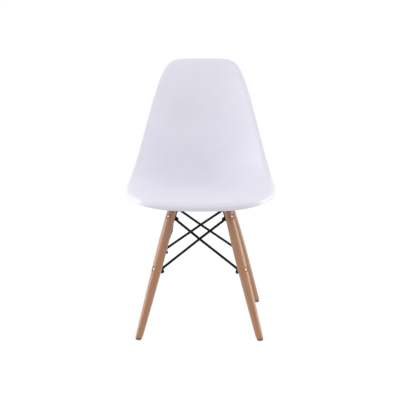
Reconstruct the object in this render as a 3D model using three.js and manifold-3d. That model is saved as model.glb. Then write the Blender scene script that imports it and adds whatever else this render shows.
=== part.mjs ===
// A dining chair: a one-piece moulded shell, held through rubber mounts on a steel seat frame,
// on four splayed beech dowel legs that crossed steel wires brace on all four sides.
// Millimetres, +Z up, the sitter faces -Y. Each leg's own frame has its origin where the leg's
// axis meets the floor, +Z up the leg and +X along its bolts, towards the middle of the chair.

import * as THREE from "three";
import { mergeVertices } from "three/addons/utils/BufferGeometryUtils.js";
import Module from "manifold-3d";

const wasm = await Module();
wasm.setup();

// ---------------------------------------------------------------- driving dimensions

const GAP = 0.3; // between pieces that touch

// Base: where the leg axes pass through the floor and through the height BASE_HEIGHT.
const BASE_HEIGHT = 400;
const FOOT_X = 186;
const FOOT_Y = 200;
const TOP_X = 80;
const TOP_Y = 70;

// Shell
const SHELL_THICKNESS = 4.6;
const SHELL_CELLS = 28; // cells of the shell's grid, each way
const CELL_CROWDING = 1.45; // how closely they crowd towards the rim
const HALF_WIDTH = 232;
const LIP_TURN = THREE.MathUtils.degToRad(78); // of the rim, as it rolls over
const LIP_SPREAD = 1.4; // how far in the roll starts, in widths of the rolled rim
const MOUNT_X = 84;
const MOUNT_Y = 40;
const BOSS_RADIUS = 11;
const BOSS_Z = 408.5;

// Legs
const LEG_TOP_Z = 384;
const LEG_RADII = [
  [0, 10.9], [90, 12.9], [220, 15], [300, 15.1], [345, 14.2], [384, 13.2], [400, 13], [440, 12.4],
];
const LEG_SIDES = 20;
const LEG_CHAMFER = 1.5;
const BOLT_AZIMUTH = THREE.MathUtils.degToRad(44); // of the leg bolts, from the fore-aft line
const LOWER_BOLT_Z = 203;
const UPPER_BOLT_Z = 358.5;
const COUNTERBORE_RADIUS = 8;
const COUNTERBORE_DEPTH = 4.2;
const CUTTER_REACH = 30; // from the leg's axis to well past its side
const FLOOR_CUTTER = 100; // a cube's side, wider than any foot

// Foot glides
const GLIDE_RADIUS = 9.8;
const GLIDE_HEIGHT = 8;
const NAIL_RADIUS = 1.8;
const NAIL_LENGTH = 14;

// Fasteners: M6 throughout
const BOLT_RADIUS = 3;
const BOLT_HOLE_RADIUS = BOLT_RADIUS + GAP;
const HEAD_RADIUS = 5.4;
const HEAD_HEIGHT = 3;
const SOCKET_FLATS = 4;
const SOCKET_DEPTH = 1.8;
const NUT_FLATS = 10;
const NUT_HEIGHT = 5;
const WASHER_RADIUS = 6.2;
const WASHER_THICKNESS = 1.2;
const BOLT_PAST_NUT = 2;
const BOLT_TIP = 0.8; // chamfer of a bolt's or a screw's end
const SCREW_HEAD_RADIUS = 6;
const SCREW_HEAD_HEIGHT = 3.6;
const INSERT_RADIUS = 4.3;
const INSERT_LENGTH = 6;

// Brace wires
const WIRE_RADIUS = 3.9;
const WIRE_EYE_RADIUS = 7;
const WIRE_EYE_THICKNESS = 3.2;
const WIRE_NECK = 10; // from the eye's centre to the start of the round wire
const WIRE_BEND = 14; // from the eye's centre to the bend
const WIRE_BEND_RADIUS = 5;
const WIRE_FAN = THREE.MathUtils.degToRad(26); // of a lower neck, from the leg's line
const UPPER_FAN = THREE.MathUtils.degToRad(62); // of an upper neck, from the leg's line
const WIRE_PASS = 4.6; // how far each wire bows aside where the two cross

// Seat frame
const RAIL_RADIUS = 4;
const RAIL_EYE_RADIUS = 8;
const RAIL_EYE_THICKNESS = 4;
const RAIL_NECK = 11;
const RAIL_BEND_RADIUS = 15;
const BAR_THICKNESS = 4;
const BAR_WIDTH = 24;
const BAR_HALF_LENGTH = 98;
const RUBBER_HEIGHT = 8;
const RUBBER_RADIUS = 14;
const RUBBER_EDGE = 1.5; // chamfer

// Heights of the seat frame's layers, from the shell's bosses down
const RUBBER_Z = BOSS_Z - GAP - RUBBER_HEIGHT;
const BAR_Z = RUBBER_Z - GAP - BAR_THICKNESS;
const RAIL_Z = BAR_Z - GAP - RAIL_RADIUS;

const COLOURS = {
  shell: { color: 0xdedbe6, roughness: 0.35, metalness: 0 },
  beech: { color: 0xd3a47c, roughness: 0.55, metalness: 0 },
  black_steel: { color: 0x1b1a1c, roughness: 0.45, metalness: 0.6 },
  rubber: { color: 0x161616, roughness: 0.85, metalness: 0 },
  zinc: { color: 0xb9babd, roughness: 0.3, metalness: 1 },
  brass: { color: 0xb08d4a, roughness: 0.35, metalness: 1 },
  glide: { color: 0x6b544b, roughness: 0.6, metalness: 0 },
};

// ---------------------------------------------------------------- helpers

const chair = new THREE.Group();

function addPiece(name, geometry, colour, parent = chair) {
  const piece = new THREE.Mesh(geometry, new THREE.MeshStandardMaterial(COLOURS[colour]));
  piece.name = name;
  parent.add(piece);
  return piece;
}

// A smooth curve through [station, value] pairs.
function through(pairs) {
  const last = pairs.length - 1;
  const slopeAt = (k) => {
    const before = pairs[Math.max(k - 1, 0)];
    const after = pairs[Math.min(k + 1, last)];
    return (after[1] - before[1]) / (after[0] - before[0]);
  };
  return (station) => {
    let k = 0;
    while (k < last - 1 && station > pairs[k + 1][0]) k += 1;
    const width = pairs[k + 1][0] - pairs[k][0];
    const t = THREE.MathUtils.clamp((station - pairs[k][0]) / width, 0, 1);
    const start = pairs[k][1] * (1 + 2 * t) * (1 - t) ** 2 + slopeAt(k) * width * t * (1 - t) ** 2;
    const end = pairs[k + 1][1] * t * t * (3 - 2 * t) - slopeAt(k + 1) * width * t * t * (1 - t);
    return start + end;
  };
}

// A closed geometry as a solid that can be joined and cut.
function solid(geometry) {
  const plain = geometry.clone();
  plain.deleteAttribute("normal");
  plain.deleteAttribute("uv");
  const merged = mergeVertices(plain, 1e-4);
  return new wasm.Manifold(new wasm.Mesh({
    numProp: 3,
    vertProperties: new Float32Array(merged.attributes.position.array),
    triVerts: new Uint32Array(merged.index.array),
  }));
}

function geometryOf(shape) {
  const mesh = shape.getMesh();
  const flat = new THREE.BufferGeometry();
  flat.setAttribute("position", new THREE.BufferAttribute(new Float32Array(mesh.vertProperties), 3));
  flat.setIndex(new THREE.BufferAttribute(new Uint32Array(mesh.triVerts), 1));
  flat.computeVertexNormals();
  return flat;
}

// An upright cylinder from the height `bottom` to the height `top`.
function rod(radius, bottom, top, sides = 12) {
  const cylinder = new THREE.CylinderGeometry(radius, radius, top - bottom, sides);
  return cylinder.rotateX(Math.PI / 2).translate(0, 0, (bottom + top) / 2);
}

// A turned piece about Z, from its closed outline of [radius, height] pairs.
function turned(outline, sides) {
  const points = outline.map(([radius, height]) => new THREE.Vector2(radius, height));
  return new THREE.LatheGeometry(points, sides).rotateX(Math.PI / 2);
}

// An upright hexagonal prism.
function hexagon(flats, bottom, top) {
  return rod(flats / Math.sqrt(3), bottom, top, 6);
}

// ---------------------------------------------------------------- shell

// Two lines in the YZ plane shape the upper face, both from the front lip up to the top of the
// back: one down the middle of the shell, and one along its sides before the rim is rolled.
function profile(curves) {
  const line = new THREE.CurvePath();
  for (const points of curves) {
    line.add(new THREE.CubicBezierCurve(...points.map(([y, z]) => new THREE.Vector2(y, z))));
  }
  return line;
}

const centreLine = profile([
  [[-227, 416], [-218, 427], [-203, 437], [-170, 438]], // front edge
  [[-170, 438], [-100, 438], [-20, 418], [56, 418]], // seat
  [[56, 418], [128, 418], [176, 446], [190, 512]], // bend into the back
  [[190, 512], [203, 574], [240, 712], [263, 780]], // back
  [[263, 780], [267, 792], [272, 806], [278, 818.5]], // top edge
]);
const sideLine = profile([
  [[-226, 438], [-214, 441], [-198, 442], [-180, 442]],
  [[-180, 442], [-140, 442], [-110, 441], [-70, 443]],
  [[-70, 443], [20, 448], [88, 462], [122, 520]],
  [[122, 520], [150, 568], [205, 700], [240, 772]],
  [[240, 772], [247, 788], [255, 803], [264, 818]],
]);

// Half the shell's width, as a part of HALF_WIDTH, at stations from 0 at the front to 1 at the top.
const halfWidthAt = through([
  [0, 0.94], [0.13, 0.985], [0.28, 1], [0.36, 0.98], [0.45, 0.935], [0.53, 0.875], [0.66, 0.787],
  [0.79, 0.694], [0.92, 0.598], [1, 0.548],
]);
const SIDE_POWER = 2.1; // how late the section across the shell turns up to its sides
const FRONT_ROUNDING = 5.2;
const TOP_ROUNDING = 7.5;

// Width and depth of the rolled rim at those stations.
const lipWidthAt = through([[0, 14], [0.24, 15], [0.36, 12.5], [0.5, 10], [0.9, 9], [1, 8]]);
const lipDepthAt = through([
  [0, 16], [0.035, 15], [0.09, 13], [0.24, 14], [0.36, 11], [0.5, 8], [0.9, 7], [1, 6.5],
]);

// The upper face before the rim is rolled. `across` is -1 to 1 and `along` is 0 to 1.
function sheetPoint(across, along) {
  const share = Math.abs(across) ** SIDE_POWER;
  const place = centreLine.getPoint(along).lerp(sideLine.getPoint(along), share);
  return new THREE.Vector3(across * HALF_WIDTH * halfWidthAt(along), place.x, place.y);
}

const STEP = 4e-3; // for slopes, as a part of the whole sheet

function sheetNormal(across, along) {
  const low = Math.max(along - STEP, 0);
  const high = Math.min(along + STEP, 1);
  const sideways = sheetPoint(across + STEP, along).sub(sheetPoint(across - STEP, along));
  const forwards = sheetPoint(across, high).sub(sheetPoint(across, low));
  return sideways.cross(forwards).normalize();
}

// The shell's outline is a rounded rectangle, |across|^n + |2 along - 1|^n = 1. This carries a
// point of a square, -1 to 1 each way, to the across and along of its place in that outline.
function spot(u, v) {
  const power = v < 0 ? FRONT_ROUNDING : TOP_ROUNDING;
  const size = (Math.abs(u) ** power + Math.abs(v) ** power) ** (1 / power);
  const scale = size > 0 ? Math.max(Math.abs(u), Math.abs(v)) / size : 0;
  return [u * scale, 0.5 + 0.5 * v * scale];
}

const MIDDLE = 1e-6; // a reach this small has no direction

function reachOf(u, v) {
  return Math.max(Math.abs(u), Math.abs(v));
}

// A point of the square moved round the middle, and as far out as before.
function swung(u, v, turn) {
  const [a, b] = [u - turn * v, v + turn * u];
  const scale = reachOf(u, v) / reachOf(a, b);
  return [a * scale, b * scale];
}

// How far a whole reach goes from the middle to the rim, measured square to the rim.
function spanTo(u, v) {
  const flat = (a, b) => sheetPoint(...spot(a, b));
  const inner = 0.95;
  const outwards = flat(u, v).sub(flat(inner * u, inner * v)).divideScalar(1 - inner);
  const round = flat(...swung(u, v, STEP)).sub(flat(...swung(u, v, -STEP))).normalize();
  return outwards.cross(round).length();
}

// The upper face with its rim rolled over, at a point of the square.
function shellPoint(u, v) {
  const reach = reachOf(u, v);
  if (reach < MIDDLE) return sheetPoint(0, 0.5);
  const [ru, rv] = [u / reach, v / reach];
  const station = spot(ru, rv)[1];
  const width = lipWidthAt(station) / spanTo(ru, rv);
  const start = 1 - LIP_SPREAD * width;
  const turn = LIP_TURN * Math.max(0, (reach - start) / (1 - start));
  const lateral = reach < start
    ? reach * (1 - width) / start
    : 1 - width * (1 - Math.sin(turn) / Math.sin(LIP_TURN));
  const drop = lipDepthAt(station) * (1 - Math.cos(turn)) / (1 - Math.cos(LIP_TURN));
  const place = spot(ru * lateral, rv * lateral);
  return sheetPoint(...place).addScaledVector(sheetNormal(...place), -drop);
}

// The normal of that face.
function shellNormal(u, v) {
  if (reachOf(u, v) < MIDDLE) return sheetNormal(0, 0.5);
  const outer = Math.min(1 + STEP, 1 / reachOf(u, v));
  const inner = outer - 2 * STEP;
  const outwards = shellPoint(u * outer, v * outer).sub(shellPoint(u * inner, v * inner));
  const round = shellPoint(...swung(u, v, STEP)).sub(shellPoint(...swung(u, v, -STEP)));
  return outwards.cross(round).normalize();
}

// A closed sheet: the upper and the lower grid, joined round the rim.
function shellGeometry() {
  const count = SHELL_CELLS + 1;
  const spread = (k) => Math.sin((2 * k / SHELL_CELLS - 1) * CELL_CROWDING) / Math.sin(CELL_CROWDING);
  const upper = [];
  const lower = [];
  for (let j = 0; j < count; j += 1) {
    for (let i = 0; i < count; i += 1) {
      const [u, v] = [spread(i), spread(j)];
      const point = shellPoint(u, v);
      upper.push(...point);
      lower.push(...point.addScaledVector(shellNormal(u, v), -SHELL_THICKNESS));
    }
  }
  const under = count * count;
  const faces = [];
  const quad = (a, b, c, d) => faces.push(a, b, c, a, c, d);
  for (let j = 0; j < SHELL_CELLS; j += 1) {
    for (let i = 0; i < SHELL_CELLS; i += 1) {
      const a = j * count + i;
      quad(a, a + 1, a + 1 + count, a + count);
      quad(under + a, under + a + count, under + a + 1 + count, under + a + 1);
    }
  }
  const rim = [];
  for (let k = 0; k < SHELL_CELLS; k += 1) rim.push(k);
  for (let k = 0; k < SHELL_CELLS; k += 1) rim.push(SHELL_CELLS + k * count);
  for (let k = 0; k < SHELL_CELLS; k += 1) rim.push(under - 1 - k);
  for (let k = 0; k < SHELL_CELLS; k += 1) rim.push(under - count - k * count);
  rim.forEach((a, k) => {
    const b = rim[(k + 1) % rim.length];
    quad(a, a + under, b + under, b);
  });
  const sheet = new THREE.BufferGeometry();
  sheet.setAttribute("position", new THREE.Float32BufferAttribute([...upper, ...lower], 3));
  sheet.setIndex(faces);
  return sheet;
}

// Height of the seat's upper face over a point of the floor plan.
function seatHeight(x, y) {
  let low = 0;
  let high = 0.55;
  for (let k = 0; k < 30; k += 1) {
    const middle = (low + high) / 2;
    if (centreLine.getPoint(middle).x < y) low = middle;
    else high = middle;
  }
  return sheetPoint(x / (HALF_WIDTH * halfWidthAt(low)), low).z;
}

const mounts = [];
for (const [end, sy] of [["front", -1], ["rear", 1]]) {
  for (const [side, sx] of [["left", -1], ["right", 1]]) {
    mounts.push({ name: `${end}_${side}`, x: sx * MOUNT_X, y: sy * MOUNT_Y });
  }
}

let shell = solid(shellGeometry());
for (const { x, y } of mounts) {
  const bossTop = seatHeight(x, y) - SHELL_THICKNESS / 2;
  shell = shell.add(solid(rod(BOSS_RADIUS, BOSS_Z, bossTop, 20).translate(x, y, 0)));
}
for (const { x, y } of mounts) {
  const hole = rod(INSERT_RADIUS + GAP, BOSS_Z - 1, BOSS_Z + INSERT_LENGTH + GAP);
  shell = shell.subtract(solid(hole.translate(x, y, 0)));
}
addPiece("seat_shell", geometryOf(shell), "shell");

// ---------------------------------------------------------------- shell mounts

for (const { name, x, y } of mounts) {
  const place = new THREE.Group();
  place.position.set(x, y, 0);
  chair.add(place);
  const insert = turned([
    [BOLT_HOLE_RADIUS, 0], [INSERT_RADIUS, 0], [INSERT_RADIUS, INSERT_LENGTH],
    [BOLT_HOLE_RADIUS, INSERT_LENGTH], [BOLT_HOLE_RADIUS, 0],
  ], 12).translate(0, 0, BOSS_Z);
  addPiece(`thread_insert_${name}`, insert, "brass", place);
  const rubber = turned([
    [BOLT_HOLE_RADIUS, 0], [RUBBER_RADIUS - RUBBER_EDGE, 0], [RUBBER_RADIUS, RUBBER_EDGE],
    [RUBBER_RADIUS, RUBBER_HEIGHT - RUBBER_EDGE], [RUBBER_RADIUS - RUBBER_EDGE, RUBBER_HEIGHT],
    [BOLT_HOLE_RADIUS, RUBBER_HEIGHT], [BOLT_HOLE_RADIUS, 0],
  ], 16).translate(0, 0, RUBBER_Z);
  addPiece(`shock_mount_${name}`, rubber, "rubber", place);
  const headTop = BAR_Z - GAP;
  const tip = BOSS_Z + INSERT_LENGTH - 1 - headTop;
  const screw = solid(turned([
    [0, -SCREW_HEAD_HEIGHT], [SCREW_HEAD_RADIUS - 1.5, -SCREW_HEAD_HEIGHT], [SCREW_HEAD_RADIUS, -2],
    [SCREW_HEAD_RADIUS, 0], [BOLT_RADIUS, 0], [BOLT_RADIUS, tip - BOLT_TIP],
    [BOLT_RADIUS - BOLT_TIP, tip], [0, tip],
  ], 12)).subtract(solid(hexagon(SOCKET_FLATS, -SCREW_HEAD_HEIGHT - 1, -SCREW_HEAD_HEIGHT + SOCKET_DEPTH)));
  addPiece(`shell_screw_${name}`, geometryOf(screw).translate(0, 0, headTop), "zinc", place);
}

// ---------------------------------------------------------------- leg frames

// The leg's frame for one corner, and where a height along its axis lies in that frame.
function legCorner(name, sx, sy) {
  const up = new THREE.Vector3(sx * (TOP_X - FOOT_X), sy * (TOP_Y - FOOT_Y), BASE_HEIGHT).normalize();
  const level = new THREE.Vector3(-sx * Math.sin(BOLT_AZIMUTH), -sy * Math.cos(BOLT_AZIMUTH), 0);
  const inward = level.addScaledVector(up, -level.dot(up)).normalize();
  const matrix = new THREE.Matrix4().makeBasis(inward, up.clone().cross(inward), up);
  matrix.setPosition(sx * FOOT_X, sy * FOOT_Y, 0);
  const foot = new THREE.Vector3(0, 0, GLIDE_HEIGHT / 2 / up.z).applyMatrix4(matrix).setZ(0);
  return { name, sx, sy, matrix, foot, up };
}

const corners = [
  legCorner("front_left", -1, -1),
  legCorner("front_right", 1, -1),
  legCorner("rear_right", 1, 1),
  legCorner("rear_left", -1, 1),
];

const upLeg = (z) => z / corners[0].up.z; // distance along the axis to the height z
const legRadiusAt = through(LEG_RADII);
const lowerBolt = upLeg(LOWER_BOLT_Z);
const upperBolt = upLeg(UPPER_BOLT_Z);

// Each bolt's stack: where each layer starts, as a distance from the leg's axis.
function stack(height, layers) {
  // The widest the leg is where the eyes cover it.
  const faces = [-RAIL_EYE_RADIUS, RAIL_EYE_RADIUS].map((rise) => legRadiusAt(height + rise));
  let start = Math.max(...faces) + GAP;
  const starts = {};
  for (const [layer, thickness] of layers) {
    starts[layer] = start;
    start += thickness + GAP;
  }
  return { ...starts, height, end: start };
}

const WIRE_LAYERS = [
  ["face", WIRE_EYE_THICKNESS], ["side", WIRE_EYE_THICKNESS],
  ["washer", WASHER_THICKNESS], ["nut", NUT_HEIGHT],
];
const lowerStack = stack(lowerBolt, WIRE_LAYERS);
const upperStack = stack(upperBolt, [["rail", RAIL_EYE_THICKNESS], ...WIRE_LAYERS]);

// ---------------------------------------------------------------- legs, glides and leg bolts

// A cylinder along the leg frame's X.
function crossRod(radius, from, to, height) {
  return rod(radius, from, to).rotateY(Math.PI / 2).translate(0, 0, height);
}

function legGeometry(corner) {
  const length = upLeg(LEG_TOP_Z);
  const toLeg = corner.matrix.clone().invert();
  const outline = [[0, -8], [legRadiusAt(0), -8], [legRadiusAt(0), 0]];
  for (const [height, radius] of LEG_RADII) {
    if (height > 0 && height < length - LEG_CHAMFER) outline.push([radius, height]);
  }
  outline.push([legRadiusAt(length), length - LEG_CHAMFER]);
  outline.push([legRadiusAt(length) - LEG_CHAMFER, length], [0, length]);
  let leg = solid(turned(outline, LEG_SIDES));
  for (const { height } of [lowerStack, upperStack]) {
    const radius = legRadiusAt(height);
    leg = leg.subtract(solid(crossRod(BOLT_HOLE_RADIUS, -CUTTER_REACH, CUTTER_REACH, height)));
    const mouth = crossRod(COUNTERBORE_RADIUS, -CUTTER_REACH, COUNTERBORE_DEPTH - radius, height);
    leg = leg.subtract(solid(mouth));
  }
  const floor = new THREE.BoxGeometry(FLOOR_CUTTER, FLOOR_CUTTER, FLOOR_CUTTER);
  floor.translate(0, 0, GLIDE_HEIGHT + GAP - FLOOR_CUTTER / 2);
  const nailHole = rod(NAIL_RADIUS + GAP, 0, GLIDE_HEIGHT + NAIL_LENGTH + GAP);
  for (const cutter of [floor, nailHole]) {
    cutter.translate(...corner.foot).applyMatrix4(toLeg);
    leg = leg.subtract(solid(cutter));
  }
  return geometryOf(leg);
}

function glideGeometry() {
  return turned([
    [0, 0], [GLIDE_RADIUS - 4.4, 0], [GLIDE_RADIUS - 2.2, 0.9], [GLIDE_RADIUS - 0.8, 2.6],
    [GLIDE_RADIUS, 5.4], [GLIDE_RADIUS, GLIDE_HEIGHT],
    [NAIL_RADIUS, GLIDE_HEIGHT], [NAIL_RADIUS, GLIDE_HEIGHT + NAIL_LENGTH - 2],
    [0, GLIDE_HEIGHT + NAIL_LENGTH],
  ], 16);
}

// Along the leg frame's X, with the head in its counterbore on the outer side.
function boltGeometry({ height, end }) {
  const seat = COUNTERBORE_DEPTH - legRadiusAt(height) - GAP;
  const bolt = solid(turned([
    [0, seat - HEAD_HEIGHT], [HEAD_RADIUS * 0.62, seat - HEAD_HEIGHT],
    [HEAD_RADIUS * 0.9, seat - HEAD_HEIGHT * 0.62], [HEAD_RADIUS, seat - HEAD_HEIGHT * 0.2],
    [HEAD_RADIUS, seat], [BOLT_RADIUS, seat], [BOLT_RADIUS, end + BOLT_PAST_NUT - BOLT_TIP],
    [BOLT_RADIUS - BOLT_TIP, end + BOLT_PAST_NUT], [0, end + BOLT_PAST_NUT],
  ], 12)).subtract(solid(hexagon(SOCKET_FLATS, seat - HEAD_HEIGHT - 1, seat - HEAD_HEIGHT + SOCKET_DEPTH)));
  return geometryOf(bolt).rotateY(Math.PI / 2).translate(0, 0, height);
}

function nutGeometry({ height, nut }) {
  const blank = solid(hexagon(NUT_FLATS, nut, nut + NUT_HEIGHT));
  const bored = blank.subtract(solid(rod(BOLT_HOLE_RADIUS, nut - 1, nut + NUT_HEIGHT + 1)));
  return geometryOf(bored).rotateY(Math.PI / 2).translate(0, 0, height);
}

function washerGeometry({ height, washer }) {
  const outline = [
    [BOLT_HOLE_RADIUS, washer], [WASHER_RADIUS, washer], [WASHER_RADIUS, washer + WASHER_THICKNESS],
    [BOLT_HOLE_RADIUS, washer + WASHER_THICKNESS], [BOLT_HOLE_RADIUS, washer],
  ];
  return turned(outline, 12).rotateY(Math.PI / 2).translate(0, 0, height);
}

for (const corner of corners) {
  const frame = new THREE.Group();
  corner.matrix.decompose(frame.position, frame.quaternion, frame.scale);
  chair.add(frame);
  addPiece(`leg_${corner.name}`, legGeometry(corner), "beech", frame);
  for (const [level, place] of [["lower", lowerStack], ["upper", upperStack]]) {
    addPiece(`leg_bolt_${level}_${corner.name}`, boltGeometry(place), "zinc", frame);
    addPiece(`washer_${level}_${corner.name}`, washerGeometry(place), "black_steel", frame);
    addPiece(`nut_${level}_${corner.name}`, nutGeometry(place), "black_steel", frame);
  }
  addPiece(`foot_glide_${corner.name}`, glideGeometry(), "glide").position.copy(corner.foot);
}

// ---------------------------------------------------------------- bent wires and rails

// Straight runs joined by round bends. The parameter has one step to a run and some to a bend,
// so a sweep along it puts its sections where the wire bends.
class BentRod extends THREE.Curve {
  constructor(points, radius, bendSteps) {
    super();
    this.stations = [{ at: points[0], heading: points[1].clone().sub(points[0]).normalize() }];
    for (let k = 1; k < points.length - 1; k += 1) {
      const into = points[k].clone().sub(points[k - 1]).normalize();
      const out = points[k + 1].clone().sub(points[k]).normalize();
      const setback = radius * Math.tan(into.angleTo(out) / 2);
      const bend = new THREE.QuadraticBezierCurve3(
        points[k].clone().addScaledVector(into, -setback),
        points[k],
        points[k].clone().addScaledVector(out, setback),
      );
      for (let step = 0; step <= bendSteps; step += 1) {
        const t = step / bendSteps;
        this.stations.push({ at: bend.getPoint(t), heading: bend.getTangent(t) });
      }
    }
    this.stations.push({ at: points.at(-1), heading: this.stations.at(-1).heading });
    this.steps = this.stations.length - 1;
  }
  getPoint(t) {
    return this.stations[Math.round(t * this.steps)].at.clone();
  }
  getPointAt(t) {
    return this.getPoint(t);
  }
  getTangentAt(t) {
    return this.stations[Math.round(t * this.steps)].heading.clone();
  }
}

function sweep(path, radius, sides) {
  const section = new THREE.Shape().absarc(0, 0, radius, 0, 2 * Math.PI);
  const settings = { steps: path.steps, curveSegments: sides / 2, extrudePath: path };
  return new THREE.ExtrudeGeometry(section, settings);
}

// A rod's end, pressed flat: a bored plate whose neck narrows to the rod's width. It lies in the
// leg frame's YZ plane with its hole on the bolt, and `angle` turns its neck from up the leg.
function pressedEnd({ start, thickness, radius, rodRadius, neck, angle, height, corner }) {
  const side = Math.asin(Math.min(1, (radius - rodRadius) / neck));
  const outline = new THREE.Shape();
  outline.absarc(0, 0, radius, side, Math.PI - side, true);
  outline.lineTo(-rodRadius, neck + 2);
  outline.lineTo(rodRadius, neck + 2);
  const settings = { depth: thickness, bevelEnabled: false, curveSegments: 9 };
  const plate = new THREE.ExtrudeGeometry(outline, settings);
  plate.translate(0, 0, start);
  const bored = solid(plate).subtract(solid(rod(BOLT_HOLE_RADIUS, start - 1, start + thickness + 1)));
  return geometryOf(bored)
    .applyMatrix4(new THREE.Matrix4().makeBasis(
      new THREE.Vector3(0, 1, 0), new THREE.Vector3(0, 0, 1), new THREE.Vector3(1, 0, 0)))
    .rotateX(angle)
    .translate(0, 0, height)
    .applyMatrix4(corner.matrix);
}

// A point on the rod's centre line, `reach` out along the neck. The rod lies flush with the
// plate's outer face, so it stays clear of the layer below.
function neckPoint({ start, rodRadius, angle, height, corner }, reach) {
  const aside = -Math.sin(angle) * reach;
  const up = Math.cos(angle) * reach;
  return new THREE.Vector3(start + rodRadius, aside, height + up).applyMatrix4(corner.matrix);
}

function bentPiece(ends, middle, bend, sides) {
  const [first, last] = ends;
  const points = [
    neckPoint(first, first.neck), neckPoint(first, first.bend),
    ...middle,
    neckPoint(last, last.bend), neckPoint(last, last.neck),
  ];
  const path = new BentRod(points, bend.radius, bend.steps);
  let piece = solid(sweep(path, first.rodRadius, sides));
  for (const end of ends) piece = piece.add(solid(pressedEnd(end)));
  return geometryOf(piece);
}

// ---------------------------------------------------------------- brace wires

// On each side of the chair one wire runs from each leg's upper bolt to the other leg's lower
// bolt. The front and rear pairs take the eyes next to the leg, and the side pairs the next.
function wireEnd(corner, place, layer, towards, isLower) {
  const heading = towards.clone().transformDirection(corner.matrix.clone().invert());
  const turn = heading.y > 0 ? -1 : 1;
  return {
    corner,
    start: place[layer],
    height: place.height,
    thickness: WIRE_EYE_THICKNESS,
    radius: WIRE_EYE_RADIUS,
    rodRadius: WIRE_RADIUS,
    neck: WIRE_NECK,
    bend: WIRE_BEND,
    angle: isLower ? turn * WIRE_FAN : turn * (Math.PI - UPPER_FAN),
  };
}

function brace(from, to, layer, outward, bow) {
  const across = new THREE.Vector3(to.sx - from.sx, to.sy - from.sy, 0);
  const upper = wireEnd(from, upperStack, layer, across, false);
  const lower = wireEnd(to, lowerStack, layer, across.clone().negate(), true);
  const start = neckPoint(upper, WIRE_BEND);
  const end = neckPoint(lower, WIRE_BEND);
  const reach = Math.abs(start.dot(across)) / (Math.abs(start.dot(across)) + Math.abs(end.dot(across)));
  const crossing = start.lerp(end, reach).addScaledVector(outward, bow);
  return bentPiece([upper, lower], [crossing], { radius: WIRE_BEND_RADIUS, steps: 3 }, 8);
}

const braceSides = [
  ["front", corners[0], corners[1], "face"],
  ["right", corners[1], corners[2], "side"],
  ["rear", corners[2], corners[3], "face"],
  ["left", corners[3], corners[0], "side"],
];
for (const [side, first, second, layer] of braceSides) {
  const outward = new THREE.Vector3(first.sx + second.sx, first.sy + second.sy, 0).normalize();
  const outer = brace(first, second, layer, outward, WIRE_PASS);
  const inner = brace(second, first, layer, outward, -WIRE_PASS);
  addPiece(`brace_${side}_outer`, outer, "black_steel");
  addPiece(`brace_${side}_inner`, inner, "black_steel");
}

// ---------------------------------------------------------------- seat frame

function railEnd(corner) {
  return {
    corner,
    start: upperStack.rail,
    height: upperStack.height,
    thickness: RAIL_EYE_THICKNESS,
    radius: RAIL_EYE_RADIUS,
    rodRadius: RAIL_RADIUS,
    neck: RAIL_NECK,
    angle: 0,
  };
}

// The neck's line meets the height of the level run this far from the eye's centre.
function reachOfLevel(end) {
  const base = neckPoint(end, 0).z;
  return (RAIL_Z - base) / end.corner.up.z;
}

for (const [side, front, rear] of [["left", corners[0], corners[3]], ["right", corners[1], corners[2]]]) {
  const ends = [railEnd(front), railEnd(rear)];
  for (const end of ends) end.bend = reachOfLevel(end);
  const rail = bentPiece(ends, [], { radius: RAIL_BEND_RADIUS, steps: 5 }, 10);
  addPiece(`side_rail_${side}`, rail, "black_steel");
}

function barGeometry() {
  const flat = BAR_HALF_LENGTH - BAR_WIDTH / 2;
  const outline = new THREE.Shape();
  outline.absarc(flat, 0, BAR_WIDTH / 2, -Math.PI / 2, Math.PI / 2, false);
  outline.absarc(-flat, 0, BAR_WIDTH / 2, Math.PI / 2, 1.5 * Math.PI, false);
  for (const sx of [-1, 1]) {
    outline.holes.push(new THREE.Path().absarc(sx * MOUNT_X, 0, BOLT_HOLE_RADIUS, 0, 2 * Math.PI, true));
  }
  return new THREE.ExtrudeGeometry(outline, { depth: BAR_THICKNESS, bevelEnabled: false, curveSegments: 8 });
}

for (const [end, sy] of [["front", -1], ["rear", 1]]) {
  const bar = addPiece(`cross_bar_${end}`, barGeometry(), "black_steel");
  bar.position.set(0, sy * MOUNT_Y, BAR_Z);
}

// ---------------------------------------------------------------- frame

// The origin is on the floor under the middle of the chair's outer box.
const extent = new THREE.Box3().setFromObject(chair, true);
chair.position.set(0, -(extent.min.y + extent.max.y) / 2, 0);

export default chair;
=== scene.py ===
import math

import bmesh
import bpy
import numpy as np
from mathutils import Matrix, Vector


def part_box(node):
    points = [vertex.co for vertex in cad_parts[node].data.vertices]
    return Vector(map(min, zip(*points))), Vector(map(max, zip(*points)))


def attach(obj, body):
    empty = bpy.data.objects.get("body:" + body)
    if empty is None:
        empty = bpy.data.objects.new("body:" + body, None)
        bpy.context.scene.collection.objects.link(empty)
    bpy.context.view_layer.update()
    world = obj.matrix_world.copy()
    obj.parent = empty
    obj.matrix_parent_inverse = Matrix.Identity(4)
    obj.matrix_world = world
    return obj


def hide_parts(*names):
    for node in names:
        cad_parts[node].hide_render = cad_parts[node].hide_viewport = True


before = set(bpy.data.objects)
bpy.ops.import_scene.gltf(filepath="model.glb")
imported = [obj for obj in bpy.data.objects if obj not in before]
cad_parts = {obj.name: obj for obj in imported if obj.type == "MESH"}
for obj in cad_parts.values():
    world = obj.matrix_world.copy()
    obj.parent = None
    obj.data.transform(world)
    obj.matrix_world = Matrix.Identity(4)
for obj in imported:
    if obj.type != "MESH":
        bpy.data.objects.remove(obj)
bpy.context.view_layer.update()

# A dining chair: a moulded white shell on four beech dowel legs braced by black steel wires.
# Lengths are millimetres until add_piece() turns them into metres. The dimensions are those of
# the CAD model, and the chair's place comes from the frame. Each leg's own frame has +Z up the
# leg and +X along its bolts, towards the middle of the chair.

MM = 0.001

# ------------------------ dimensions

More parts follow.
